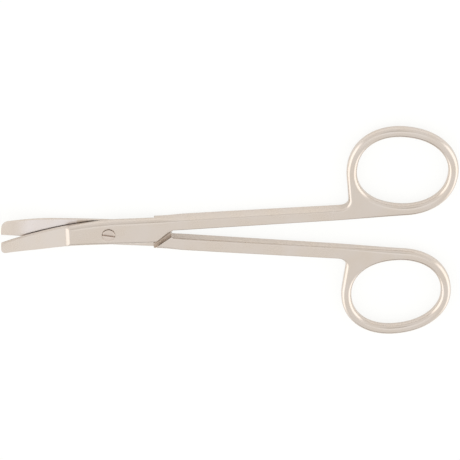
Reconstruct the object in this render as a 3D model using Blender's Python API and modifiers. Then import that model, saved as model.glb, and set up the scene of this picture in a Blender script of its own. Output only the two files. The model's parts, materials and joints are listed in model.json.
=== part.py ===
"""Nasal scissors: two forged halves that lap at a screw joint, with blades curved on the flat.

X runs from the blades to the finger rings, Y across, Z up through the joint. The scissors lie on
their back with the tips curving up. The origin is on the joint's axis, in the plane of the rear
half's outer face. Each half is drawn closed, with its ring at +Y and its outer face up, and is
then turned about the joint to the slightly open resting pose.
"""
import math
from collections import namedtuple

import bmesh
import bpy
from mathutils import Matrix, Vector

MM = 0.001

# Resting pose
REST_OPENING = math.radians(4.5)

# Joint, with heights counted from the plane between the two halves
JOINT_FACE = 2.1 * MM
LAP_GAP = 0.3 * MM
JOINT_EDGE_Y = 4.28 * MM
SPINE_Y = 3.65 * MM
HEEL_Y = 3.79 * MM
JOINT_ROUND_RUN = 1.4 * MM
JOINT_ROUND_DROP = 1.5 * MM
SHOULDER_X = 17.75 * MM
SHOULDER_ANGLE = math.radians(40.75)
CLOSED_GAP = 0.1 * MM
HEEL_RUN = 1.15 * MM
SHOULDER_ROUND = 1.3 * MM
SHOULDER_ROUND_END_X = 24.0 * MM

# Blade
BLADE_REACH = 31.0 * MM
EDGE_SWEEP_X = 3.0 * MM
EDGE_SWEEP_POWER = 1.45
FRONT_TIP_EDGE_Y = -0.3 * MM
REAR_TIP_EDGE_Y = 0.33 * MM
TIP_EDGE_CORNER = 0.3 * MM
FRONT_TIP_CORNER = 1.3 * MM
REAR_TIP_CORNER = 2.0 * MM
TIP_SPINE_Y = 3.53 * MM
BLADE_FULLNESS = 0.22 * MM
BLADE_FACE = 1.85 * MM
TIP_FACE = 1.5 * MM
EDGE_FACE = 0.8 * MM
EDGE_BEVEL_RUN = 0.35 * MM
EDGE_BEVEL_DROP = 0.6 * MM
RUNOUT_X = 11.3 * MM
RUNOUT_LENGTH = 1.7 * MM
BEND_START_X = 5.5 * MM
BEND_RADIUS = 95.0 * MM

# Shank
SHANK_FACE = 1.8 * MM
SHANK_INNER_Y = 0.5 * MM
SHANK_WIDTH = 3.85 * MM
SHANK_WIDTH_AT_RING = 3.8 * MM
SHANK_DRAFT = 0.5 * MM
SHANK_ROUND = 0.45 * MM

# Finger ring
RING_X = 85.19 * MM
RING_Y = 16.97 * MM
RING_HOLE_LENGTH = 26.3 * MM
RING_HOLE_WIDTH = 22.1 * MM
RING_BAR = 3.0 * MM
RING_FACE = 1.5 * MM
RING_ROUND = 1.25 * MM
RING_TILT = math.radians(-9.75)
RING_SQUARENESS = 2.14
RING_EGG = 0.027
RING_SWELL = 0.4 * MM
RING_NECK_ANGLE = math.radians(194)
RING_FILLET = 2.5 * MM

# Joint screw
SCREW_HEAD_DIAMETER = 3.7 * MM
SCREW_HEAD_DEPTH = 0.8 * MM
SCREW_HEAD_PROUD = 0.3 * MM
SCREW_SHANK_DIAMETER = 2.4 * MM
SCREW_SLOT_WIDTH = 0.42 * MM
SCREW_SLOT_DEPTH = 0.45 * MM
SCREW_SLOT_ANGLE = math.radians(-9.0)
RUNNING_CLEARANCE = 0.08 * MM

# Fineness of the meshes
ARC_STEPS = 3
RING_STEPS = 52
FILLET_STEPS = 6
BLADE_STEPS = 9
RUNOUT_STEPS = 4
EDGE_STEPS = 5
TIP_STEPS = 4
SCREW_SIDES = 32

Tip = namedtuple("Tip", "edge_y corner")
FRONT_TIP = Tip(FRONT_TIP_EDGE_Y, FRONT_TIP_CORNER)
REAR_TIP = Tip(REAR_TIP_EDGE_Y, REAR_TIP_CORNER)


def mix(a, b, t):
    return a + (b - a) * t


def ease(x, start, end):
    """0 before start, 1 after end, and a smooth rise between them."""
    t = min(max((x - start) / (end - start), 0.0), 1.0)
    return t * t * (3 - 2 * t)


def find_root(f, low, high):
    """Where f changes sign between low and high."""
    sign = f(low) > 0
    for _ in range(50):
        middle = (low + high) / 2
        if (f(middle) > 0) == sign:
            low = middle
        else:
            high = middle
    return (low + high) / 2


# Plan of the finger ring and of the lines that run into it

def ring_oval(angle):
    """The ring's centre line in its own frame."""
    c, s = math.cos(angle), math.sin(angle)
    x = math.copysign(abs(c) ** (2 / RING_SQUARENESS), c)
    y = math.copysign(abs(s) ** (2 / RING_SQUARENESS), s) * (1 - RING_EGG * c)
    return Vector((x * (RING_HOLE_LENGTH + RING_BAR) / 2, y * (RING_HOLE_WIDTH + RING_BAR) / 2))


def outward(curve, angle):
    along = curve(angle + 0.01) - curve(angle - 0.01)
    return Vector((along.y, -along.x)).normalized()


def ring_point(angle, is_outer):
    """A point on the ring's outer side or on its hole's side; also the direction out of the ring."""
    def side(a):
        swell = RING_SWELL * max(0.0, -math.sin(a)) ** 2
        offset = RING_BAR / 2 + swell if is_outer else -RING_BAR / 2
        return ring_oval(a) + outward(ring_oval, a) * offset

    turn = Matrix.Rotation(RING_TILT, 2)
    return turn @ side(angle) + Vector((RING_X, RING_Y)), turn @ outward(side, angle)


def inner_tangent_angle():
    """Where the shank's inner side runs tangent into the ring's outer side."""
    start = Vector((SHOULDER_X, SHANK_INNER_Y))

    def miss(angle):
        point, out = ring_point(angle, True)
        return (point - start).dot(out)

    return find_root(miss, math.radians(-130), math.radians(-50))


TANGENT_ANGLE = inner_tangent_angle()
TANGENT_POINT = ring_point(TANGENT_ANGLE, True)[0]
INNER_SLOPE = (TANGENT_POINT.y - SHANK_INNER_Y) / (TANGENT_POINT.x - SHOULDER_X)


def shank_inner(x):
    return SHANK_INNER_Y + INNER_SLOPE * (x - SHOULDER_X)


def shank_outer(x):
    width = mix(SHANK_WIDTH, SHANK_WIDTH_AT_RING, (x - SHOULDER_X) / (RING_X - SHOULDER_X))
    return shank_inner(x) + width


def outer_line():
    """A point on the shank's outer side, its direction, and its direction out of the metal."""
    start = Vector((SHOULDER_X, shank_outer(SHOULDER_X)))
    along = (Vector((RING_X, shank_outer(RING_X))) - start).normalized()
    return start, along, Vector((-along.y, along.x))


def outer_fillet():
    """Centre of the arc between the shank's outer side and the straight neck below the ring."""
    start, along, out_of_shank = outer_line()
    neck, out = ring_point(RING_NECK_ANGLE, True)
    beside = start + out_of_shank * RING_FILLET
    return beside + along * ((RING_FILLET - (beside - neck).dot(out)) / along.dot(out))


# Outline of the bar, from the tip of the blade to the end of the shank

def heel_x(y):
    """The heel meets the other half's shoulder, and leaves a gap there when closed."""
    gap = CLOSED_GAP / math.sin(SHOULDER_ANGLE)
    return SHOULDER_X - gap + (y + SHANK_INNER_Y) / math.tan(SHOULDER_ANGLE)


HEEL_START_X = heel_x(-HEEL_Y)
HEEL_END_X = heel_x(SHANK_INNER_Y)
HEEL_RUN_Y = HEEL_RUN / math.cos(SHOULDER_ANGLE)


def corner_cut(x, radius):
    """How far a round corner at the tip draws the outline in."""
    reach = x + BLADE_REACH
    if reach >= radius:
        return 0.0
    return radius - math.sqrt(max(radius ** 2 - (radius - reach) ** 2, 0.0))


def edge_y(x, tip):
    """The side that carries the cutting edge, and behind the joint the shank's outer side."""
    if x > SHOULDER_X:
        return shank_outer(x)
    if x > EDGE_SWEEP_X:
        return mix(JOINT_EDGE_Y, shank_outer(SHOULDER_X), ease(x, EDGE_SWEEP_X, SHOULDER_X))
    sweep = ((EDGE_SWEEP_X - x) / (EDGE_SWEEP_X + BLADE_REACH)) ** EDGE_SWEEP_POWER
    return mix(JOINT_EDGE_Y, tip.edge_y, sweep) - corner_cut(x, TIP_EDGE_CORNER)


def spine_line(x, tip):
    """The spine from the tip of the blade to the heel, without the heel's slant."""
    if x < 0:
        along = ease(-x, RUNOUT_X - RUNOUT_LENGTH, BLADE_REACH)
        fullness = BLADE_FULLNESS * math.sin(math.pi * along)
        return corner_cut(x, tip.corner) - mix(SPINE_Y, TIP_SPINE_Y, -x / BLADE_REACH) - fullness
    return -mix(SPINE_Y, HEEL_Y, ease(x, 0.0, HEEL_START_X))


def spine_y(x, tip):
    """The blade's spine, the heel and the shank's inner side."""
    if x < HEEL_START_X:
        return spine_line(x, tip)
    heel = (x - HEEL_START_X) / (HEEL_END_X - HEEL_START_X)
    return min(mix(-HEEL_Y, SHANK_INNER_Y, heel), shank_inner(x))


def spine_rim_y(x, tip):
    """The inner limit of the rounding along that side, with the long slope on the heel."""
    heel_rim = -HEEL_Y + (x - HEEL_START_X) * math.tan(SHOULDER_ANGLE) + HEEL_RUN_Y
    return max(spine_line(x, tip) + JOINT_ROUND_RUN, min(heel_rim, shank_inner(x) + SHANK_ROUND))


def face_height(x, at_edge):
    """Height of the outer face: blade, hollow run-out, joint, then the shank's taper."""
    if x > 0:
        joint = mix(JOINT_FACE, SHANK_FACE, ease(x, SCREW_HEAD_DIAMETER, SHOULDER_X))
        return mix(joint, RING_FACE, min(max((x - SHOULDER_X) / (BAR_END_X - SHOULDER_X), 0), 1))
    to_tip = (-x - RUNOUT_X) / (BLADE_REACH - RUNOUT_X)
    blade = mix(BLADE_FACE, TIP_FACE, to_tip)
    if at_edge:
        blade = EDGE_FACE
    into_hollow = min(max((-x - RUNOUT_X) / RUNOUT_LENGTH, 0.0), 1.0)
    return mix(blade, JOINT_FACE, (1 - into_hollow) ** 2)


FILLET_CENTRE = outer_fillet()
BAR_END_X = FILLET_CENTRE.x - SHANK_WIDTH


def column(base, into, height, run, drop, bottom, bottom_round, straight=0.0, cut_off=0.0, draft=0.0):
    """The points down one side: rounding at the top, wall, and rounding at the bottom.

    straight turns the rounding into a bevel, cut_off is the height that a lower face takes off
    the rounding's top, and draft is how far the wall leans in on its way up.
    """
    points = []
    begin = math.acos(1 - cut_off / drop)
    for step in range(ARC_STEPS + 1):
        part = step / ARC_STEPS
        angle = mix(begin, math.pi / 2, part)
        inset = draft + run * mix(1 - math.sin(angle), 1 - part, straight)
        fall = drop * mix(1 - math.cos(angle), part, straight) - cut_off
        points.append((*(base + into * inset), height - fall))
    for step in range(ARC_STEPS + 1):
        angle = step / ARC_STEPS * math.pi / 2
        inset = bottom_round * (1 - math.cos(angle))
        points.append((*(base + into * inset), bottom + bottom_round * (1 - math.sin(angle))))
    return points


def bar_columns(x, tip):
    """The two sides of the bar at one station."""
    blade = ease(-x, RUNOUT_X - RUNOUT_LENGTH, RUNOUT_X + RUNOUT_LENGTH)
    joint = 1 - ease(x, HEEL_START_X, SHOULDER_X + SHANK_WIDTH)
    bottom = -face_height(max(x, 0.0), False)

    run = mix(mix(SHANK_ROUND, JOINT_ROUND_RUN, joint), EDGE_BEVEL_RUN, blade)
    drop = mix(mix(SHANK_ROUND, JOINT_ROUND_DROP, joint), EDGE_BEVEL_DROP, blade)
    bottom_round = mix(SHOULDER_ROUND, SHANK_ROUND, ease(x, HEEL_START_X, SHOULDER_ROUND_END_X))
    draft = SHANK_DRAFT * ease(x, HEEL_START_X, SHOULDER_X + SHANK_WIDTH)
    base = Vector((x, edge_y(x, tip)))
    edge = column(base, Vector((0, -1)), face_height(x, True), run, drop, bottom, bottom_round, blade,
                  draft=draft)

    height = face_height(x, False)
    cut_off = JOINT_FACE - height if x < 0 else 0.0
    run = spine_rim_y(x, tip) - spine_y(x, tip)
    drop = mix(SHANK_ROUND, JOINT_ROUND_DROP, joint)
    base = Vector((x, spine_y(x, tip)))
    spine = column(base, Vector((0, 1)), height, run, drop, bottom, SHANK_ROUND, cut_off=cut_off)
    return edge, spine


def bar_stations(tip):
    """Where the bar's sections stand, closer together where its form changes fast."""
    def spread(start, end, count):
        return [mix(start, end, step / count) for step in range(count)]

    turns = [step / TIP_STEPS * math.pi / 2 for step in range(TIP_STEPS)]
    stations = [-BLADE_REACH + tip.corner * (1 - math.cos(turn)) for turn in turns]
    hollow_end = -RUNOUT_X - RUNOUT_LENGTH
    rim_start = HEEL_START_X - HEEL_RUN / math.sin(SHOULDER_ANGLE)
    rim_end = HEEL_END_X - HEEL_RUN / math.sin(SHOULDER_ANGLE)
    stations += spread(-BLADE_REACH + tip.corner, hollow_end, BLADE_STEPS)
    stations += spread(hollow_end, -RUNOUT_X, RUNOUT_STEPS)
    stations += spread(-RUNOUT_X, EDGE_SWEEP_X, EDGE_STEPS)
    stations += spread(EDGE_SWEEP_X, rim_start, 4)
    stations += [rim_start, HEEL_START_X, (HEEL_START_X + rim_end) / 2, rim_end, HEEL_END_X]
    stations += spread(SHOULDER_X + SHANK_WIDTH, BAR_END_X, 3)
    return stations + [BAR_END_X]


def ring_columns():
    """The outer side from the shank's end round the ring and back, and the hole's side."""
    def side(base, into, rounding, draft=0.0):
        return column(base, into, RING_FACE, rounding, rounding, -RING_FACE, rounding, draft=draft)

    outer = []
    first = -outer_line()[2]
    last = -ring_point(RING_NECK_ANGLE, True)[1]
    sweep = first.angle_signed(last)
    for step in range(FILLET_STEPS + 1):
        part = step / FILLET_STEPS
        towards = Matrix.Rotation(-sweep * part, 2) @ first
        rounding = mix(SHANK_ROUND, RING_ROUND, ease(part, 0, 1))
        draft = SHANK_DRAFT * (1 - ease(part, 0, 1))
        outer.append(side(FILLET_CENTRE + towards * RING_FILLET, towards, rounding, draft))
    count = round(RING_STEPS * (RING_NECK_ANGLE - TANGENT_ANGLE) / (2 * math.pi))
    for step in range(count + 1):
        point, out = ring_point(mix(RING_NECK_ANGLE, TANGENT_ANGLE, step / count), True)
        outer.append(side(point, -out, RING_ROUND))
    into = Vector((-INNER_SLOPE, 1)).normalized()
    for step in range(1, FILLET_STEPS):
        part = step / FILLET_STEPS
        x = mix(TANGENT_POINT.x, BAR_END_X, part)
        rounding = mix(RING_ROUND, SHANK_ROUND, ease(part, 0, 1))
        outer.append(side(Vector((x, shank_inner(x))), into, rounding))
    hole = []
    for step in range(RING_STEPS):
        point, out = ring_point(2 * math.pi * step / RING_STEPS, False)
        hole.append(side(point, out, RING_ROUND))
    return outer, hole


def forging(tip):
    """One half as a solid of full thickness: the bar, and the ring that it runs into."""
    bm = bmesh.new()

    def add(points):
        return [bm.verts.new(point) for point in points]

    def wall(columns):
        for near, far in zip(columns, columns[1:]):
            for level in range(len(near) - 1):
                bm.faces.new((near[level], near[level + 1], far[level + 1], far[level]))

    pairs = [bar_columns(x, tip) for x in bar_stations(tip)]
    edge = [add(pair[0]) for pair in pairs]
    spine = [add(pair[1]) for pair in pairs]
    wall(edge)
    wall(spine)
    for level in (0, -1):
        for i in range(len(edge) - 1):
            bm.faces.new((edge[i][level], edge[i + 1][level], spine[i + 1][level], spine[i][level]))
    bm.faces.new(edge[0] + spine[0][::-1])

    outer_points, hole_points = ring_columns()
    outer = [edge[-1]] + [add(points) for points in outer_points] + [spine[-1]]
    hole = [add(points) for points in hole_points]
    wall(outer)
    wall(hole + hole[:1])
    for level in (0, -1):
        rim = [(a[level], b[level]) for a, b in zip(outer, outer[1:])]
        rim += [(a[level], b[level]) for a, b in zip(hole, hole[1:] + hole[:1])]
        rim.append((edge[-1][level], spine[-1][level]))
        edges = [bm.edges.get(pair) for pair in rim]
        bmesh.ops.triangle_fill(bm, use_beauty=True, edges=edges, normal=(0, 0, 1))
    bmesh.ops.recalc_face_normals(bm, faces=bm.faces)
    return to_object(bm, "forging")


# Objects and cuts

def collection(name):
    group = bpy.data.collections.new(name)
    bpy.context.scene.collection.children.link(group)
    return group


def to_object(bm, name):
    mesh = bpy.data.meshes.new(name)
    bm.to_mesh(mesh)
    bm.free()
    return bpy.data.objects.new(name, mesh)


def cylinder(name, radius, low, high):
    bm = bmesh.new()
    place = Matrix.Translation((0, 0, (low + high) / 2))
    bmesh.ops.create_cone(bm, cap_ends=True, segments=SCREW_SIDES, radius1=radius, radius2=radius,
                          depth=high - low, matrix=place)
    return to_object(bm, name)


def lap_cutter():
    """Everything below the inner face, from beyond the tip to the slanting shoulder."""
    side = SHANK_WIDTH * 4
    slant = side / math.tan(SHOULDER_ANGLE)
    middle = SHOULDER_X + SHANK_INNER_Y / math.tan(SHOULDER_ANGLE)
    plan = [(-BLADE_REACH * 1.2, -side), (middle + slant, -side),
            (middle - slant, side), (-BLADE_REACH * 1.2, side)]
    bm = bmesh.new()
    floor = bm.faces.new([bm.verts.new((x, y, -2 * JOINT_FACE)) for x, y in plan])
    top = bmesh.ops.extrude_face_region(bm, geom=[floor])["geom"]
    rise = Vector((0, 0, 2 * JOINT_FACE + LAP_GAP / 2))
    bmesh.ops.translate(bm, vec=rise, verts=[v for v in top if isinstance(v, bmesh.types.BMVert)])
    bmesh.ops.recalc_face_normals(bm, faces=bm.faces)
    return to_object(bm, "lap_cutter")


def cut(target, cutter, cutters):
    cutters.objects.link(cutter)
    cutter.hide_render = True
    cutter.display_type = 'WIRE'
    modifier = target.modifiers.new(cutter.name, 'BOOLEAN')
    modifier.operation = 'DIFFERENCE'
    modifier.solver = 'EXACT'
    modifier.object = cutter


def curve_blade(bm, upward):
    """Bend the blade on the flat, with section lines where the curve needs them."""
    start = -BEND_START_X
    for step in range(BLADE_STEPS):
        at = (mix(start, -BLADE_REACH, step / BLADE_STEPS), 0, 0)
        geometry = bm.verts[:] + bm.edges[:] + bm.faces[:]
        bmesh.ops.bisect_plane(bm, geom=geometry, dist=0.00001, plane_co=at, plane_no=(1, 0, 0))
    for vert in bm.verts:
        if vert.co.x < start:
            vert.co.z += upward * (vert.co.x - start) ** 2 / (2 * BEND_RADIUS)


def finish(obj, steel, parts):
    obj.data.materials.clear()
    obj.data.materials.append(steel)
    obj.data.shade_smooth()
    obj.data.set_sharp_from_angle(angle=math.radians(32))
    parts.objects.link(obj)


def half(name, is_front, bores, steel, parts, cutters):
    """A forged half, lapped, bored and curved, then turned to its place."""
    blank = forging(FRONT_TIP if is_front else REAR_TIP)
    parts.objects.link(blank)
    cut(blank, lap_cutter(), cutters)
    for bore in bores:
        cut(blank, bore, cutters)
    evaluated = blank.evaluated_get(bpy.context.evaluated_depsgraph_get())
    bm = bmesh.new()
    bm.from_mesh(bpy.data.meshes.new_from_object(evaluated))
    curve_blade(bm, 1 if is_front else -1)
    obj = to_object(bm, name)
    bpy.data.objects.remove(blank)

    turn = REST_OPENING / 2
    if not is_front:
        obj.data.transform(Matrix.Rotation(math.pi, 4, 'X'))
        turn = -turn
    obj.rotation_euler.z = turn
    obj.location.z = JOINT_FACE
    finish(obj, steel, parts)
    return obj


def joint_screw(steel, parts, cutters):
    """Slotted screw: its low head stands a little proud, and its tail is flush."""
    head_top = JOINT_FACE + SCREW_HEAD_PROUD
    head_bottom = JOINT_FACE - SCREW_HEAD_DEPTH
    radius = SCREW_SHANK_DIAMETER / 2
    profile = [(0, head_top), (SCREW_HEAD_DIAMETER / 2, head_top),
               (SCREW_HEAD_DIAMETER / 2, head_bottom), (radius, head_bottom),
               (radius, -JOINT_FACE), (0, -JOINT_FACE)]
    bm = bmesh.new()
    verts = [bm.verts.new((x, 0, z)) for x, z in profile]
    for pair in zip(verts, verts[1:]):
        bm.edges.new(pair)
    screw = to_object(bm, "pivot_screw")
    turned = screw.modifiers.new("turned", 'SCREW')
    turned.steps = SCREW_SIDES
    turned.render_steps = SCREW_SIDES
    turned.use_merge_vertices = True
    turned.merge_threshold = 0.00001
    screw.location.z = JOINT_FACE

    bm = bmesh.new()
    bmesh.ops.create_cube(bm, size=1)
    size = (SCREW_HEAD_DIAMETER * 2, SCREW_SLOT_WIDTH, SCREW_SLOT_DEPTH * 2)
    bmesh.ops.scale(bm, vec=size, verts=bm.verts)
    slot = to_object(bm, "slot_cutter")
    slot.location.z = JOINT_FACE + head_top
    slot.rotation_euler.z = SCREW_SLOT_ANGLE
    cut(screw, slot, cutters)
    finish(screw, steel, parts)
    return screw


def brushed_steel(name, colour, roughness):
    material = bpy.data.materials.new(name)
    material.use_nodes = True
    shader = material.node_tree.nodes["Principled BSDF"]
    shader.inputs["Base Color"].default_value = (*colour, 1)
    shader.inputs["Metallic"].default_value = 1.0
    shader.inputs["Roughness"].default_value = roughness
    return material


def main():
    for old in list(bpy.data.objects):
        bpy.data.objects.remove(old)
    parts = collection("nasal_scissors")
    cutters = collection("cutters")
    steel = brushed_steel("satin_steel", (0.66, 0.62, 0.58), 0.32)
    screw_steel = brushed_steel("screw_steel", (0.62, 0.56, 0.51), 0.35)

    screw_radius = SCREW_SHANK_DIAMETER / 2
    head_radius = SCREW_HEAD_DIAMETER / 2 + RUNNING_CLEARANCE
    head_seat = JOINT_FACE - SCREW_HEAD_DEPTH - LAP_GAP
    front_bores = [
        cylinder("clearance_bore", screw_radius + RUNNING_CLEARANCE, -JOINT_FACE, 2 * JOINT_FACE),
        cylinder("head_bore", head_radius, head_seat, 2 * JOINT_FACE),
    ]
    rear_bores = [cylinder("screw_bore", screw_radius + RUNNING_CLEARANCE, -JOINT_FACE, 2 * JOINT_FACE)]
    half("front_half", True, front_bores, steel, parts, cutters)
    half("rear_half", False, rear_bores, steel, parts, cutters)
    joint_screw(screw_steel, parts, cutters)


main()
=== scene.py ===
"""Nasal scissors, dressed: fine meshes of both halves and the joint screw, in satin steel.

The halves follow the same shape rules as the solids they stand for, in finer steps. Lengths are
in metres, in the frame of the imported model.
"""
import json
import math
from collections import namedtuple

import bmesh
import bpy
from mathutils import Matrix, Vector

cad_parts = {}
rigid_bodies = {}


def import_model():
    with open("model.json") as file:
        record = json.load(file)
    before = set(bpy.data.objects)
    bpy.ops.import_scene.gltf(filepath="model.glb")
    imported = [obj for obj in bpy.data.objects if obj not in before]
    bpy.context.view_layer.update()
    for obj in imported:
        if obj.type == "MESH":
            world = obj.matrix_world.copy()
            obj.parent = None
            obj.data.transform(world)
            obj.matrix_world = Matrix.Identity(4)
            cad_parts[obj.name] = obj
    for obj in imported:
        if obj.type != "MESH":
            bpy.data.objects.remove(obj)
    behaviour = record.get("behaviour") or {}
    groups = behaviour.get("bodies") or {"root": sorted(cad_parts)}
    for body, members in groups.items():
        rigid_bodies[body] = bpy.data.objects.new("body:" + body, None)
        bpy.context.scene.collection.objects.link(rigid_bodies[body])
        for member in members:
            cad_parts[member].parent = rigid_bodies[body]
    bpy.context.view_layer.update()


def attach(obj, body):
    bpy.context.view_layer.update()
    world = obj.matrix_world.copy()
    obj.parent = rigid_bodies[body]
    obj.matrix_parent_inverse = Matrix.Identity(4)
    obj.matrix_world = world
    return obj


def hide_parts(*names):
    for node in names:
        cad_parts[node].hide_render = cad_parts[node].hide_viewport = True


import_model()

MM = 0.001

# Resting pose
REST_OPENING = math.radians(4.5)

# Joint, with heights counted from the plane between the two halves
JOINT_FACE = 2.1 * MM
LAP_GAP = 0.3 * MM
JOINT_EDGE_Y = 4.28 * MM
SPINE_Y = 3.65 * MM
HEEL_Y = 3.79 * MM
JOINT_ROUND_RUN = 1.4 * MM
JOINT_ROUND_DROP = 1.5 * MM
SHOULDER_X = 17.75 * MM
SHOULDER_ANGLE = math.radians(40.75)
CLOSED_GAP = 0.1 * MM
HEEL_RUN = 1.15 * MM
SHOULDER_ROUND = 1.3 * MM
SHOULDER_ROUND_END_X = 24.0 * MM

# Blade
BLADE_REACH = 31.0 * MM
EDGE_SWEEP_X = 3.0 * MM
EDGE_SWEEP_POWER = 1.45
FRONT_TIP_EDGE_Y = -0.3 * MM
REAR_TIP_EDGE_Y = 0.33 * MM
TIP_EDGE_CORNER = 0.3 * MM
FRONT_TIP_CORNER = 1.3 * MM
REAR_TIP_CORNER = 2.0 * MM
TIP_SPINE_Y = 3.53 * MM
BLADE_FULLNESS = 0.22 * MM
BLADE_FACE = 1.85 * MM
TIP_FACE = 1.5 * MM
EDGE_FACE = 0.8 * MM
EDGE_BEVEL_RUN = 0.35 * MM
EDGE_BEVEL_DROP = 0.6 * MM
RUNOUT_X = 11.3 * MM
RUNOUT_LENGTH = 1.7 * MM
BEND_START_X = 5.5 * MM
BEND_RADIUS = 95.0 * MM

# Shank
SHANK_FACE = 1.8 * MM
SHANK_INNER_Y = 0.5 * MM
SHANK_WIDTH = 3.85 * MM
SHANK_WIDTH_AT_RING = 3.8 * MM
SHANK_DRAFT = 0.5 * MM
SHANK_ROUND = 0.45 * MM

# Finger ring
RING_X = 85.19 * MM
RING_Y = 16.97 * MM
RING_HOLE_LENGTH = 26.3 * MM
RING_HOLE_WIDTH = 22.1 * MM
RING_BAR = 3.0 * MM
RING_FACE = 1.5 * MM
RING_ROUND = 1.25 * MM
RING_TILT = math.radians(-9.75)
RING_SQUARENESS = 2.14
RING_EGG = 0.027
RING_SWELL = 0.4 * MM
RING_NECK_ANGLE = math.radians(194)
RING_FILLET = 2.5 * MM

# Joint screw
SCREW_HEAD_DIAMETER = 3.7 * MM
SCREW_HEAD_DEPTH = 0.8 * MM
SCREW_HEAD_PROUD = 0.3 * MM
SCREW_SHANK_DIAMETER = 2.4 * MM
SCREW_SLOT_WIDTH = 0.42 * MM
SCREW_SLOT_DEPTH = 0.45 * MM
SCREW_SLOT_ANGLE = math.radians(-9.0)
RUNNING_CLEARANCE = 0.08 * MM
SCREW_RIM = 0.12 * MM

# Hollow of the blades' inner faces, and broken edges
HOLLOW_DEPTH = 0.12 * MM
HOLLOW_LENGTH = 5.0 * MM
EDGE_BREAK = 0.06 * MM
SHARP_ANGLE = math.radians(35)

# Fineness of the meshes
ARC_STEPS = 9
RING_STEPS = 192
FILLET_STEPS = 24
BLADE_STEPS = 40
RUNOUT_STEPS = 14
EDGE_STEPS = 24
TIP_STEPS = 12
SCREW_SIDES = 128
HOLLOW_STEPS = 16
JOINT_STEPS = 4
SHANK_STEPS = 3
BROKEN_EDGE_STEPS = 2

# Construction: a search, the reach of the lap's cutter, and tolerances
TANGENT_SEARCH = (math.radians(-130), math.radians(-50))
SEARCH_ROUNDS = 50
DIRECTION_STEP = 0.01
CUTTER_REACH = BLADE_REACH * 1.2
CUTTER_HALF_WIDTH = SHANK_WIDTH * 4
MERGE_DISTANCE = 0.01 * MM
FLAT_TOLERANCE = 0.01 * MM

# Finish: pattern scales are per metre in the half's own frame, with +X along its length
BRUSH_STRETCH = (0.03, 1.0, 1.0)
BRUSH_SCALE = 3500.0
CLOUD_SCALE = 160.0
GRAIN_SCALE = 2200.0
BRUSH_DEPTH = 0.01 * MM
BUMP_STRENGTH = 0.35
ROUGH_SPREAD = 0.03
WEAR_REACH = 0.12 * MM
WEAR_POLISH = 0.08
WEAR_FULL_BEND = 0.75
WEAR_SHARE = 0.8
WEAR_SAMPLES = 6
PATTERN_DETAIL = 3.0
GRAIN_DETAIL = 2.0
GRAIN_SHARE = 0.5
CLOUD_RANGE = (0.35, 0.65)
ROUGH_RANGE = (0.3, 0.7)
RING_BRUSHING = 0.25

# The look of each steel: satin is its roughness away from the finger ring, and polished on it
Steel = namedtuple("Steel", "tint cool_tint worn_tint satin polished")
SATIN_STEEL = Steel((0.645, 0.565, 0.49, 1), (0.65, 0.58, 0.52, 1), (0.76, 0.70, 0.64, 1), 0.30, 0.2)
SCREW_STEEL = Steel((0.62, 0.53, 0.46, 1), (0.64, 0.56, 0.50, 1), (0.76, 0.69, 0.63, 1), 0.33, 0.3)

# Painted reflection: the blades' ground inner faces are painted lighter and cooler by this ratio, for the
# bright overhead light that they reflect; it fades in behind the tip
GROUND_PAINTED_REFLECTION = (1.15, 1.19, 1.28)
PAINTED_REFLECTION_START_X = -28.0 * MM
PAINTED_REFLECTION_FULL_X = -22.5 * MM

# Light by direction: each lobe has a level, and the cosines at which it starts and is full
OVERHEAD = (1.0, 1.0, 1.0)
LOBES = [
    # towards, colour, level, start, full
    ((0, 0, 1), (0.96, 0.98, 1.0), 1.2, 0.88, 0.99),
    ((0, 0.5, 0.866), (1.0, 0.98, 0.96), 0.72, 0.955, 0.99),
    ((0, -1, 0.1), (1.0, 0.98, 0.96), 0.55, 0.88, 0.98),
    ((1, -0.3, 0.3), (1.0, 1.0, 1.0), 1.7, 0.72, 0.86),
    ((-1, -0.3, 0.3), (1.0, 1.0, 1.0), 1.7, 0.72, 0.86),
]

# Floor: what the camera sees glows more than what the metal reflects, so its shadow there is faint
FLOOR_SIZE = 8.0
FLOOR_DROP = 0.02 * MM
FLOOR_MATT = 0.65
FLOOR_GLOW = 0.4
FLOOR_MATT_SEEN = 0.15
FLOOR_COLOUR = (1.0, 1.0, 0.985)

# Camera, at the photograph's viewing angle
CAMERA_TILT = math.radians(-30)
CAMERA_YAW = math.radians(-2.28)
CAMERA_PITCH = math.radians(0.13)
CAMERA_AIM = Vector((35.2, 0.6, 2.1)) * MM
CAMERA_DISTANCE = 880 * MM
CAMERA_LENS = 237.5
CAMERA_SENSOR = 36.0
CAMERA_CLIP = (0.01, 10)

Tip = namedtuple("Tip", "edge_y corner")
FRONT_TIP = Tip(FRONT_TIP_EDGE_Y, FRONT_TIP_CORNER)
REAR_TIP = Tip(REAR_TIP_EDGE_Y, REAR_TIP_CORNER)


def mix(a, b, t):
    return a + (b - a) * t


def ease(x, start, end):
    """0 before start, 1 after end, and a smooth rise between them."""
    t = min(max((x - start) / (end - start), 0.0), 1.0)
    return t * t * (3 - 2 * t)


def find_root(f, low, high):
    """Where f changes sign between low and high."""
    sign = f(low) > 0
    for _ in range(SEARCH_ROUNDS):
        middle = (low + high) / 2
        if (f(middle) > 0) == sign:
            low = middle
        else:
            high = middle
    return (low + high) / 2


# Plan of the finger ring and of the lines that run into it

def ring_oval(angle):
    """The ring's centre line in its own frame."""
    c, s = math.cos(angle), math.sin(angle)
    x = math.copysign(abs(c) ** (2 / RING_SQUARENESS), c)
    y = math.copysign(abs(s) ** (2 / RING_SQUARENESS), s) * (1 - RING_EGG * c)
    return Vector((x * (RING_HOLE_LENGTH + RING_BAR) / 2, y * (RING_HOLE_WIDTH + RING_BAR) / 2))


def outward(curve, angle):
    """The direction out of a closed curve."""
    along = curve(angle + DIRECTION_STEP) - curve(angle - DIRECTION_STEP)
    return Vector((along.y, -along.x)).normalized()


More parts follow.
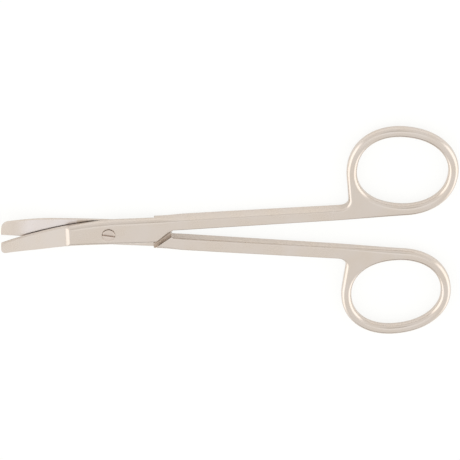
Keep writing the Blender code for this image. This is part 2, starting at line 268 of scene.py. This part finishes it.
def ring_point(angle, is_outer):
    """A point on the ring's outer side or on its hole's side; also the direction out of the ring."""
    def side(a):
        swell = RING_SWELL * max(0.0, -math.sin(a)) ** 2
        offset = RING_BAR / 2 + swell if is_outer else -RING_BAR / 2
        return ring_oval(a) + outward(ring_oval, a) * offset

    turn = Matrix.Rotation(RING_TILT, 2)
    return turn @ side(angle) + Vector((RING_X, RING_Y)), turn @ outward(side, angle)


def inner_tangent_angle():
    """Where the shank's inner side runs tangent into the ring's outer side."""
    start = Vector((SHOULDER_X, SHANK_INNER_Y))

    def miss(angle):
        point, out = ring_point(angle, True)
        return (point - start).dot(out)

    return find_root(miss, *TANGENT_SEARCH)


TANGENT_ANGLE = inner_tangent_angle()
TANGENT_POINT = ring_point(TANGENT_ANGLE, True)[0]
INNER_SLOPE = (TANGENT_POINT.y - SHANK_INNER_Y) / (TANGENT_POINT.x - SHOULDER_X)


def shank_inner(x):
    """The y of the shank's inner side, which faces the other shank."""
    return SHANK_INNER_Y + INNER_SLOPE * (x - SHOULDER_X)


def shank_outer(x):
    """The y of the shank's outer side."""
    width = mix(SHANK_WIDTH, SHANK_WIDTH_AT_RING, (x - SHOULDER_X) / (RING_X - SHOULDER_X))
    return shank_inner(x) + width


def outer_line():
    """A point on the shank's outer side, its direction, and its direction out of the metal."""
    start = Vector((SHOULDER_X, shank_outer(SHOULDER_X)))
    along = (Vector((RING_X, shank_outer(RING_X))) - start).normalized()
    return start, along, Vector((-along.y, along.x))


def outer_fillet():
    """Centre of the arc between the shank's outer side and the straight neck below the ring."""
    start, along, out_of_shank = outer_line()
    neck, out = ring_point(RING_NECK_ANGLE, True)
    beside = start + out_of_shank * RING_FILLET
    return beside + along * ((RING_FILLET - (beside - neck).dot(out)) / along.dot(out))


# Outline of the bar, from the tip of the blade to the end of the shank

def heel_x(y):
    """The heel meets the other half's shoulder, and leaves a gap there when closed."""
    gap = CLOSED_GAP / math.sin(SHOULDER_ANGLE)
    return SHOULDER_X - gap + (y + SHANK_INNER_Y) / math.tan(SHOULDER_ANGLE)


HEEL_START_X = heel_x(-HEEL_Y)
HEEL_END_X = heel_x(SHANK_INNER_Y)
HEEL_RUN_Y = HEEL_RUN / math.cos(SHOULDER_ANGLE)


def corner_cut(x, radius):
    """How far a round corner at the tip draws the outline in."""
    reach = x + BLADE_REACH
    if reach >= radius:
        return 0.0
    return radius - math.sqrt(max(radius ** 2 - (radius - reach) ** 2, 0.0))


def edge_y(x, tip):
    """The side that carries the cutting edge, and behind the joint the shank's outer side."""
    if x > SHOULDER_X:
        return shank_outer(x)
    if x > EDGE_SWEEP_X:
        return mix(JOINT_EDGE_Y, shank_outer(SHOULDER_X), ease(x, EDGE_SWEEP_X, SHOULDER_X))
    sweep = ((EDGE_SWEEP_X - x) / (EDGE_SWEEP_X + BLADE_REACH)) ** EDGE_SWEEP_POWER
    return mix(JOINT_EDGE_Y, tip.edge_y, sweep) - corner_cut(x, TIP_EDGE_CORNER)


def spine_line(x, tip):
    """The spine from the tip of the blade to the heel, without the heel's slant."""
    if x < 0:
        along = ease(-x, RUNOUT_X - RUNOUT_LENGTH, BLADE_REACH)
        fullness = BLADE_FULLNESS * math.sin(math.pi * along)
        return corner_cut(x, tip.corner) - mix(SPINE_Y, TIP_SPINE_Y, -x / BLADE_REACH) - fullness
    return -mix(SPINE_Y, HEEL_Y, ease(x, 0.0, HEEL_START_X))


def spine_y(x, tip):
    """The blade's spine, the heel and the shank's inner side."""
    if x < HEEL_START_X:
        return spine_line(x, tip)
    heel = (x - HEEL_START_X) / (HEEL_END_X - HEEL_START_X)
    return min(mix(-HEEL_Y, SHANK_INNER_Y, heel), shank_inner(x))


def spine_rim_y(x, tip):
    """The inner limit of the rounding along that side, with the long slope on the heel."""
    heel_rim = -HEEL_Y + (x - HEEL_START_X) * math.tan(SHOULDER_ANGLE) + HEEL_RUN_Y
    return max(spine_line(x, tip) + JOINT_ROUND_RUN, min(heel_rim, shank_inner(x) + SHANK_ROUND))


def face_height(x, at_edge):
    """Height of the outer face: blade, hollow run-out, joint, then the shank's taper."""
    if x > 0:
        joint = mix(JOINT_FACE, SHANK_FACE, ease(x, SCREW_HEAD_DIAMETER, SHOULDER_X))
        return mix(joint, RING_FACE, min(max((x - SHOULDER_X) / (BAR_END_X - SHOULDER_X), 0), 1))
    to_tip = (-x - RUNOUT_X) / (BLADE_REACH - RUNOUT_X)
    blade = mix(BLADE_FACE, TIP_FACE, to_tip)
    if at_edge:
        blade = EDGE_FACE
    into_hollow = min(max((-x - RUNOUT_X) / RUNOUT_LENGTH, 0.0), 1.0)
    return mix(blade, JOINT_FACE, (1 - into_hollow) ** 2)


FILLET_CENTRE = outer_fillet()
BAR_END_X = FILLET_CENTRE.x - SHANK_WIDTH


def column(base, into, height, run, drop, bottom, bottom_round,
           straight=0.0, cut_off=0.0, draft=0.0):
    """The points down one side: rounding at the top, wall, and rounding at the bottom.

    straight turns the rounding into a bevel, cut_off is the height that a lower face takes off
    the rounding's top, and draft is how far the wall leans in on its way up.
    """
    points = []
    begin = math.acos(1 - cut_off / drop)
    for step in range(ARC_STEPS + 1):
        part = step / ARC_STEPS
        angle = mix(begin, math.pi / 2, part)
        inset = draft + run * mix(1 - math.sin(angle), 1 - part, straight)
        fall = drop * mix(1 - math.cos(angle), part, straight) - cut_off
        points.append((*(base + into * inset), height - fall))
    for step in range(ARC_STEPS + 1):
        angle = step / ARC_STEPS * math.pi / 2
        inset = bottom_round * (1 - math.cos(angle))
        points.append((*(base + into * inset), bottom + bottom_round * (1 - math.sin(angle))))
    return points


def bar_columns(x, tip):
    """The two sides of the bar at one station."""
    blade = ease(-x, RUNOUT_X - RUNOUT_LENGTH, RUNOUT_X + RUNOUT_LENGTH)
    joint = 1 - ease(x, HEEL_START_X, SHOULDER_X + SHANK_WIDTH)
    bottom = -face_height(max(x, 0.0), False)

    run = mix(mix(SHANK_ROUND, JOINT_ROUND_RUN, joint), EDGE_BEVEL_RUN, blade)
    drop = mix(mix(SHANK_ROUND, JOINT_ROUND_DROP, joint), EDGE_BEVEL_DROP, blade)
    bottom_round = mix(SHOULDER_ROUND, SHANK_ROUND, ease(x, HEEL_START_X, SHOULDER_ROUND_END_X))
    draft = SHANK_DRAFT * ease(x, HEEL_START_X, SHOULDER_X + SHANK_WIDTH)
    base = Vector((x, edge_y(x, tip)))
    edge = column(base, Vector((0, -1)), face_height(x, True), run, drop, bottom, bottom_round, blade,
                  draft=draft)

    height = face_height(x, False)
    cut_off = JOINT_FACE - height if x < 0 else 0.0
    run = spine_rim_y(x, tip) - spine_y(x, tip)
    drop = mix(SHANK_ROUND, JOINT_ROUND_DROP, joint)
    base = Vector((x, spine_y(x, tip)))
    spine = column(base, Vector((0, 1)), height, run, drop, bottom, SHANK_ROUND, cut_off=cut_off)
    return edge, spine


def bar_stations(tip):
    """Where the bar's sections stand, closer together where its form changes fast."""
    def spread(start, end, count):
        return [mix(start, end, step / count) for step in range(count)]

    turns = [step / TIP_STEPS * math.pi / 2 for step in range(TIP_STEPS)]
    stations = [-BLADE_REACH + tip.corner * (1 - math.cos(turn)) for turn in turns]
    hollow_end = -RUNOUT_X - RUNOUT_LENGTH
    rim_start = HEEL_START_X - HEEL_RUN / math.sin(SHOULDER_ANGLE)
    rim_end = HEEL_END_X - HEEL_RUN / math.sin(SHOULDER_ANGLE)
    stations += spread(-BLADE_REACH + tip.corner, hollow_end, BLADE_STEPS)
    stations += spread(hollow_end, -RUNOUT_X, RUNOUT_STEPS)
    stations += spread(-RUNOUT_X, EDGE_SWEEP_X, EDGE_STEPS)
    stations += spread(EDGE_SWEEP_X, rim_start, JOINT_STEPS)
    stations += [rim_start, HEEL_START_X, (HEEL_START_X + rim_end) / 2, rim_end, HEEL_END_X]
    stations += spread(SHOULDER_X + SHANK_WIDTH, BAR_END_X, SHANK_STEPS)
    return stations + [BAR_END_X]


def ring_columns():
    """The outer side from the shank's end round the ring and back, and the hole's side."""
    def side(base, into, rounding, draft=0.0):
        return column(base, into, RING_FACE, rounding, rounding, -RING_FACE, rounding, draft=draft)

    outer = []
    first = -outer_line()[2]
    last = -ring_point(RING_NECK_ANGLE, True)[1]
    sweep = first.angle_signed(last)
    for step in range(FILLET_STEPS + 1):
        part = step / FILLET_STEPS
        towards = Matrix.Rotation(-sweep * part, 2) @ first
        rounding = mix(SHANK_ROUND, RING_ROUND, ease(part, 0, 1))
        draft = SHANK_DRAFT * (1 - ease(part, 0, 1))
        outer.append(side(FILLET_CENTRE + towards * RING_FILLET, towards, rounding, draft))
    count = round(RING_STEPS * (RING_NECK_ANGLE - TANGENT_ANGLE) / (2 * math.pi))
    for step in range(count + 1):
        point, out = ring_point(mix(RING_NECK_ANGLE, TANGENT_ANGLE, step / count), True)
        outer.append(side(point, -out, RING_ROUND))
    into = Vector((-INNER_SLOPE, 1)).normalized()
    for step in range(1, FILLET_STEPS):
        part = step / FILLET_STEPS
        x = mix(TANGENT_POINT.x, BAR_END_X, part)
        rounding = mix(RING_ROUND, SHANK_ROUND, ease(part, 0, 1))
        outer.append(side(Vector((x, shank_inner(x))), into, rounding))
    hole = []
    for step in range(RING_STEPS):
        point, out = ring_point(2 * math.pi * step / RING_STEPS, False)
        hole.append(side(point, out, RING_ROUND))
    return outer, hole


def forging(tip):
    """One half as a solid of full thickness: the bar, and the ring that it runs into."""
    bm = bmesh.new()

    def add(points):
        return [bm.verts.new(point) for point in points]

    def wall(columns):
        for near, far in zip(columns, columns[1:]):
            for level in range(len(near) - 1):
                bm.faces.new((near[level], near[level + 1], far[level + 1], far[level]))

    pairs = [bar_columns(x, tip) for x in bar_stations(tip)]
    edge = [add(pair[0]) for pair in pairs]
    spine = [add(pair[1]) for pair in pairs]
    wall(edge)
    wall(spine)
    for level in (0, -1):
        for i in range(len(edge) - 1):
            bm.faces.new((edge[i][level], edge[i + 1][level], spine[i + 1][level], spine[i][level]))
    bm.faces.new(edge[0] + spine[0][::-1])

    outer_points, hole_points = ring_columns()
    outer = [edge[-1]] + [add(points) for points in outer_points] + [spine[-1]]
    hole = [add(points) for points in hole_points]
    wall(outer)
    wall(hole + hole[:1])
    for level in (0, -1):
        rim = [(a[level], b[level]) for a, b in zip(outer, outer[1:])]
        rim += [(a[level], b[level]) for a, b in zip(hole, hole[1:] + hole[:1])]
        rim.append((edge[-1][level], spine[-1][level]))
        edges = [bm.edges.get(pair) for pair in rim]
        bmesh.ops.triangle_fill(bm, use_beauty=True, edges=edges, normal=(0, 0, 1))
    bmesh.ops.recalc_face_normals(bm, faces=bm.faces)
    return to_object(bm, "forging")


# Objects and cuts

def to_object(bm, name):
    """An object with this mesh, not yet in the scene."""
    mesh = bpy.data.meshes.new(name)
    bm.to_mesh(mesh)
    bm.free()
    return bpy.data.objects.new(name, mesh)


def cylinder(name, radius, low, high):
    """An upright cylinder on the joint's axis."""
    bm = bmesh.new()
    place = Matrix.Translation((0, 0, (low + high) / 2))
    bmesh.ops.create_cone(bm, cap_ends=True, segments=SCREW_SIDES, radius1=radius, radius2=radius,
                          depth=high - low, matrix=place)
    return to_object(bm, name)


def lap_cutter():
    """Everything below the inner face, from beyond the tip to the slanting shoulder."""
    side = CUTTER_HALF_WIDTH
    slant = side / math.tan(SHOULDER_ANGLE)
    middle = SHOULDER_X + SHANK_INNER_Y / math.tan(SHOULDER_ANGLE)
    plan = [(-CUTTER_REACH, -side), (middle + slant, -side),
            (middle - slant, side), (-CUTTER_REACH, side)]
    bm = bmesh.new()
    floor = bm.faces.new([bm.verts.new((x, y, -2 * JOINT_FACE)) for x, y in plan])
    top = bmesh.ops.extrude_face_region(bm, geom=[floor])["geom"]
    rise = Vector((0, 0, 2 * JOINT_FACE + LAP_GAP / 2))
    bmesh.ops.translate(bm, vec=rise, verts=[v for v in top if isinstance(v, bmesh.types.BMVert)])
    bmesh.ops.recalc_face_normals(bm, faces=bm.faces)
    return to_object(bm, "lap_cutter")


def curve_sections(bm):
    """Section lines across the blade, where the curve needs them."""
    for step in range(BLADE_STEPS):
        at = (mix(-BEND_START_X, -BLADE_REACH, step / BLADE_STEPS), 0, 0)
        geometry = bm.verts[:] + bm.edges[:] + bm.faces[:]
        bmesh.ops.bisect_plane(bm, geom=geometry, dist=MERGE_DISTANCE, plane_co=at, plane_no=(1, 0, 0))


def bend_blade(bm, upward):
    """Bend the blade on the flat."""
    for vert in bm.verts:
        past = min(vert.co.x + BEND_START_X, 0.0)
        vert.co.z += upward * past ** 2 / (2 * BEND_RADIUS)


def subtract(target, cutters):
    """The mesh of target with every cutter taken away."""
    shown = bpy.context.scene.collection.objects
    for obj in (target, *cutters):
        shown.link(obj)
    for cutter in cutters:
        modifier = target.modifiers.new(cutter.name, 'BOOLEAN')
        modifier.operation = 'DIFFERENCE'
        modifier.solver = 'EXACT'
        modifier.object = cutter
    evaluated = target.evaluated_get(bpy.context.evaluated_depsgraph_get())
    mesh = bpy.data.meshes.new_from_object(evaluated)
    for obj in (target, *cutters):
        bpy.data.objects.remove(obj)
    return mesh


def slice_inner_face(bm):
    """Section lines along the blade, for the hollow of its inner face."""
    for step in range(1, HOLLOW_STEPS):
        at = (0, mix(-SPINE_Y, JOINT_EDGE_Y, step / HOLLOW_STEPS), 0)
        inner = [face for face in bm.faces if on_inner_face(face)]
        geometry = {element for face in inner for element in (face, *face.edges, *face.verts)}
        bmesh.ops.bisect_plane(bm, geom=list(geometry), dist=MERGE_DISTANCE, plane_co=at,
                               plane_no=(0, 1, 0))


def on_inner_face(face):
    """True for the blade's part of the plane in which the halves meet."""
    middle = face.calc_center_median()
    return middle.x < -RUNOUT_X + RUNOUT_LENGTH and all(
        abs(vert.co.z - LAP_GAP / 2) < FLAT_TOLERANCE for vert in face.verts)


def hollow(bm, tip):
    """Grind the blade's inner face hollow between its cutting edge and its spine."""
    inner = {vert for face in bm.faces if on_inner_face(face) for vert in face.verts}
    for vert in inner:
        x, y = vert.co.x, vert.co.y
        middle = (edge_y(x, tip) + spine_y(x, tip)) / 2
        half_width = (edge_y(x, tip) - spine_y(x, tip)) / 2
        if half_width <= 0:
            continue
        across = min(abs(y - middle) / half_width, 1.0)
        along = ease(-x, RUNOUT_X, RUNOUT_X + HOLLOW_LENGTH) * ease(x + BLADE_REACH, 0, HOLLOW_LENGTH)
        vert.co.z += HOLLOW_DEPTH * (1 - across ** 2) * along


def dress(obj, body, nodes, material):
    """Smooth shading, broken edges, the finish, and the place in the frame."""
    mesh = obj.data
    mesh.materials.clear()
    mesh.materials.append(material)
    mesh.shade_smooth()
    bpy.context.scene.collection.objects.link(obj)
    bevel = obj.modifiers.new("broken edges", 'BEVEL')
    bevel.width = EDGE_BREAK
    bevel.segments = BROKEN_EDGE_STEPS
    bevel.limit_method = 'ANGLE'
    bevel.angle_limit = SHARP_ANGLE
    bevel.harden_normals = False
    weighted = obj.modifiers.new("even shading", 'WEIGHTED_NORMAL')
    weighted.keep_sharp = True
    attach(obj, body)
    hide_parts(*nodes)


def half(name, body, node, is_front, bores, material, painted_reflection_material):
    """A forged half, lapped, bored, hollow-ground and curved, then turned to its place."""
    tip = FRONT_TIP if is_front else REAR_TIP
    bm = bmesh.new()
    bm.from_mesh(subtract(forging(tip), [lap_cutter(), *bores]))
    slice_inner_face(bm)
    curve_sections(bm)
    # The blade's inner faces, which get the steel with the painted reflection
    has_painted_reflection = [on_inner_face(face) for face in bm.faces]
    hollow(bm, tip)
    bend_blade(bm, 1 if is_front else -1)
    obj = to_object(bm, name)
    turn = REST_OPENING / 2
    if not is_front:
        obj.data.transform(Matrix.Rotation(math.pi, 4, 'X'))
        turn = -turn
    obj.rotation_euler.z = turn
    obj.location.z = JOINT_FACE
    dress(obj, body, [node], material)
    # The ground inner faces take the steel whose colour carries a painted reflection, painted lighter and
    # cooler
    obj.data.materials.append(painted_reflection_material)
    obj.data.polygons.foreach_set("material_index", has_painted_reflection)


def joint_screw(material):
    """Slotted screw with a low cylindrical head, its rim rounded and its slot worn."""
    head_top = JOINT_FACE + SCREW_HEAD_PROUD
    head_bottom = JOINT_FACE - SCREW_HEAD_DEPTH
    head_radius = SCREW_HEAD_DIAMETER / 2
    radius = SCREW_SHANK_DIAMETER / 2
    rim = [step / ARC_STEPS * math.pi / 2 for step in range(ARC_STEPS + 1)]
    profile = [(0, head_top)]
    profile += [(head_radius - SCREW_RIM * (1 - math.sin(turn)),
                 head_top - SCREW_RIM * (1 - math.cos(turn))) for turn in rim]
    profile += [(head_radius, head_bottom), (radius, head_bottom), (radius, -JOINT_FACE), (0, -JOINT_FACE)]
    bm = bmesh.new()
    verts = [bm.verts.new((x, 0, z)) for x, z in profile]
    edges = [bm.edges.new(pair) for pair in zip(verts, verts[1:])]
    bmesh.ops.spin(bm, geom=verts + edges, cent=(0, 0, 0), axis=(0, 0, 1), angle=2 * math.pi,
                   steps=SCREW_SIDES, use_merge=True)
    bmesh.ops.remove_doubles(bm, verts=bm.verts, dist=MERGE_DISTANCE)
    bmesh.ops.recalc_face_normals(bm, faces=bm.faces)
    screw = to_object(bm, "screw")

    bm = bmesh.new()
    bmesh.ops.create_cube(bm, size=1)
    size = (SCREW_HEAD_DIAMETER * 2, SCREW_SLOT_WIDTH, SCREW_SLOT_DEPTH * 2)
    place = Matrix.Translation((0, 0, head_top)) @ Matrix.Rotation(SCREW_SLOT_ANGLE, 4, 'Z')
    bmesh.ops.scale(bm, vec=size, verts=bm.verts)
    bmesh.ops.transform(bm, matrix=place, verts=bm.verts)
    slotted = bpy.data.objects.new("joint_screw", subtract(screw, [to_object(bm, "slot")]))
    slotted.location.z = JOINT_FACE
    dress(slotted, "rear_half", ["pivot_screw"], material)


# Finish of the metal

class Nodes:
    """The nodes of one material or world, made and linked in short calls."""

    def __init__(self, owner):
        owner.use_nodes = True
        self.tree = owner.node_tree
        self.tree.nodes.clear()

    def add(self, kind, inputs=(), **settings):
        node = self.tree.nodes.new(kind)
        for key, value in settings.items():
            setattr(node, key, value)
        for key, value in dict(inputs).items():
            self.put(node.inputs[key], value)
        return node

    def put(self, socket, value):
        if isinstance(value, bpy.types.NodeSocket):
            self.tree.links.new(value, socket)
        else:
            socket.default_value = value

    def math(self, operation, a, b=0.0):
        return self.add('ShaderNodeMath', {0: a, 1: b}, operation=operation).outputs[0]

    def scale_range(self, value, low, high, to_low, to_high, smooth=False):
        inputs = {"Value": value, "From Min": low, "From Max": high, "To Min": to_low, "To Max": to_high}
        kind = 'SMOOTHSTEP' if smooth else 'LINEAR'
        return self.add('ShaderNodeMapRange', inputs, interpolation_type=kind).outputs[0]

    def noise(self, vector, scale, detail):
        inputs = {"Vector": vector, "Scale": scale, "Detail": detail}
        return self.add('ShaderNodeTexNoise', inputs, noise_dimensions='3D').outputs["Fac"]

    def blend(self, part, a, b):
        node = self.add('ShaderNodeMix', data_type='RGBA')
        for socket, value in zip((node.inputs[0], node.inputs[6], node.inputs[7]), (part, a, b)):
            self.put(socket, value)
        return node.outputs[2]


def brushed_steel(name, steel, has_painted_reflection=False):
    """Satin steel: fine brushing along the length, faint clouds, and edges burnished by handling.

    Toward the finger ring the brushing fades and the metal is more polished. On the ground faces the steel
    is painted lighter and cooler, a painted reflection of the bright overhead light.
    """
    material = bpy.data.materials.new(name)
    n = Nodes(material)
    place = n.add('ShaderNodeTexCoord').outputs["Object"]
    x = n.add('ShaderNodeSeparateXYZ', {0: place}).outputs[0]
    lines = n.add('ShaderNodeMapping', {"Vector": place, "Scale": BRUSH_STRETCH}).outputs[0]
    brushing = n.noise(lines, BRUSH_SCALE, PATTERN_DETAIL)
    clouds = n.noise(place, CLOUD_SCALE, PATTERN_DETAIL)
    grain = n.noise(place, GRAIN_SCALE, GRAIN_DETAIL)
    on_ring = n.scale_range(x, RING_X - RING_HOLE_LENGTH, RING_X - RING_HOLE_LENGTH / 2, 0, 1, True)

    rounded = n.add('ShaderNodeBevel', {"Radius": WEAR_REACH}, samples=WEAR_SAMPLES).outputs[0]
    plain = n.add('ShaderNodeNewGeometry').outputs["Normal"]
    bend = n.add('ShaderNodeVectorMath', {0: rounded, 1: plain}, operation='DOT_PRODUCT').outputs["Value"]
    wear = n.scale_range(bend, 1.0, WEAR_FULL_BEND, 0, 1)

    colour = n.blend(n.scale_range(clouds, *CLOUD_RANGE, 0, 1), steel.tint, steel.cool_tint)
    # Painted reflection: the ground inner faces are painted lighter and cooler, fading in behind the tip,
    # for the bright overhead light they reflect
    if has_painted_reflection:
        painted_reflection = n.add('ShaderNodeVectorMath', {0: colour, 1: GROUND_PAINTED_REFLECTION}, operation='MULTIPLY').outputs[0]
        colour = n.blend(n.scale_range(x, PAINTED_REFLECTION_START_X, PAINTED_REFLECTION_FULL_X, 0, 1, True), colour, painted_reflection)
    colour = n.blend(n.math('MULTIPLY', wear, WEAR_SHARE), colour, steel.worn_tint)
    rough = n.scale_range(on_ring, 0, 1, steel.satin, steel.polished)
    for pattern in (brushing, clouds):
        spread = n.scale_range(pattern, *ROUGH_RANGE, -ROUGH_SPREAD, ROUGH_SPREAD)
        rough = n.math('ADD', rough, spread)
    rough = n.math('SUBTRACT', rough, n.math('MULTIPLY', wear, WEAR_POLISH))

    depth = n.math('MULTIPLY', brushing, n.scale_range(on_ring, 0, 1, 1.0, RING_BRUSHING))
    height = n.math('ADD', depth, n.math('MULTIPLY', grain, GRAIN_SHARE))
    bump = n.add('ShaderNodeBump', {"Strength": BUMP_STRENGTH, "Distance": BRUSH_DEPTH,
                                    "Height": height, "Normal": rounded}).outputs[0]
    shader = n.add('ShaderNodeBsdfPrincipled', {"Base Color": colour, "Metallic": 1.0,
                                                "Roughness": rough, "Normal": bump})
    n.add('ShaderNodeOutputMaterial', {"Surface": shader.outputs[0]})
    return material


# Studio

def studio_light():
    """Even light overhead with brighter and dimmer lobes; the camera itself sees white."""
    world = bpy.data.worlds.new("studio")
    bpy.context.scene.world = world
    n = Nodes(world)
    direction = n.add('ShaderNodeTexCoord').outputs["Generated"]
    light = (*OVERHEAD, 1)
    for towards, colour, level, start, full in LOBES:
        middle = Vector(towards).normalized()
        nearness = n.add('ShaderNodeVectorMath', {0: direction, 1: middle}, operation='DOT_PRODUCT')
        part = n.scale_range(nearness.outputs["Value"], start, full, 0, 1, True)
        light = n.blend(part, light, (*(level * channel for channel in colour), 1))
    seen = n.add('ShaderNodeLightPath').outputs["Is Camera Ray"]
    light = n.blend(seen, light, (1, 1, 1, 1))
    shader = n.add('ShaderNodeBackground', {"Color": light})
    n.add('ShaderNodeOutputWorld', {"Surface": shader.outputs[0]})


def floor():
    """A pale floor that is white to the camera with a faint shadow, and plainly lit in the metal."""
    bm = bmesh.new()
    bmesh.ops.create_grid(bm, x_segments=1, y_segments=1, size=FLOOR_SIZE / 2)
    plane = to_object(bm, "floor")
    plane.location.z = -FLOOR_DROP
    bpy.context.scene.collection.objects.link(plane)
    material = bpy.data.materials.new("pale floor")
    n = Nodes(material)
    matt = n.add('ShaderNodeBsdfDiffuse', {"Color": (*[FLOOR_MATT] * 3, 1)})
    base = n.add('ShaderNodeEmission', {"Color": (*FLOOR_COLOUR, 1), "Strength": FLOOR_GLOW})
    plain = n.add('ShaderNodeAddShader', {0: matt.outputs[0], 1: base.outputs[0]})
    faint = n.add('ShaderNodeBsdfDiffuse', {"Color": (*[FLOOR_MATT_SEEN] * 3, 1)})
    glow = n.add('ShaderNodeEmission', {"Color": (*FLOOR_COLOUR, 1), "Strength": 1 - FLOOR_MATT_SEEN})
    white = n.add('ShaderNodeAddShader', {0: faint.outputs[0], 1: glow.outputs[0]})
    seen = n.add('ShaderNodeLightPath').outputs["Is Camera Ray"]
    both = n.add('ShaderNodeMixShader', {0: seen, 1: plain.outputs[0], 2: white.outputs[0]})
    n.add('ShaderNodeOutputMaterial', {"Surface": both.outputs[0]})
    plane.data.materials.append(material)


def camera():
    """A long lens at the photograph's viewing angle."""
    turn = (Matrix.Rotation(CAMERA_TILT, 4, 'X') @ Matrix.Rotation(CAMERA_YAW, 4, 'Y')
            @ Matrix.Rotation(CAMERA_PITCH, 4, 'X'))
    lens = bpy.data.cameras.new("camera")
    lens.lens = CAMERA_LENS
    lens.sensor_width = CAMERA_SENSOR
    lens.clip_start, lens.clip_end = CAMERA_CLIP
    view = bpy.data.objects.new("camera", lens)
    view.matrix_world = Matrix.Translation(CAMERA_AIM) @ turn @ Matrix.Translation((0, 0, CAMERA_DISTANCE))
    bpy.context.scene.collection.objects.link(view)
    bpy.context.scene.camera = view


def main():
    scene = bpy.context.scene
    scene.view_settings.view_transform = 'Standard'
    steel = brushed_steel("satin steel", SATIN_STEEL)
    # Steel for the ground inner faces, with a painted reflection: painted lighter and cooler
    ground = brushed_steel("ground steel with painted reflection", SATIN_STEEL, has_painted_reflection=True)
    screw_steel = brushed_steel("screw steel", SCREW_STEEL)
    screw_radius = SCREW_SHANK_DIAMETER / 2 + RUNNING_CLEARANCE
    head_radius = SCREW_HEAD_DIAMETER / 2 + RUNNING_CLEARANCE
    head_seat = JOINT_FACE - SCREW_HEAD_DEPTH - LAP_GAP
    front_bores = [cylinder("clearance bore", screw_radius, -JOINT_FACE, 2 * JOINT_FACE),
                   cylinder("head bore", head_radius, head_seat, 2 * JOINT_FACE)]
    rear_bores = [cylinder("screw bore", screw_radius, -JOINT_FACE, 2 * JOINT_FACE)]
    half("front_forging", "front_half", "front_half", True, front_bores, steel, ground)
    half("rear_forging", "rear_half", "rear_half", False, rear_bores, steel, ground)
    joint_screw(screw_steel)
    studio_light()
    floor()
    camera()


main()
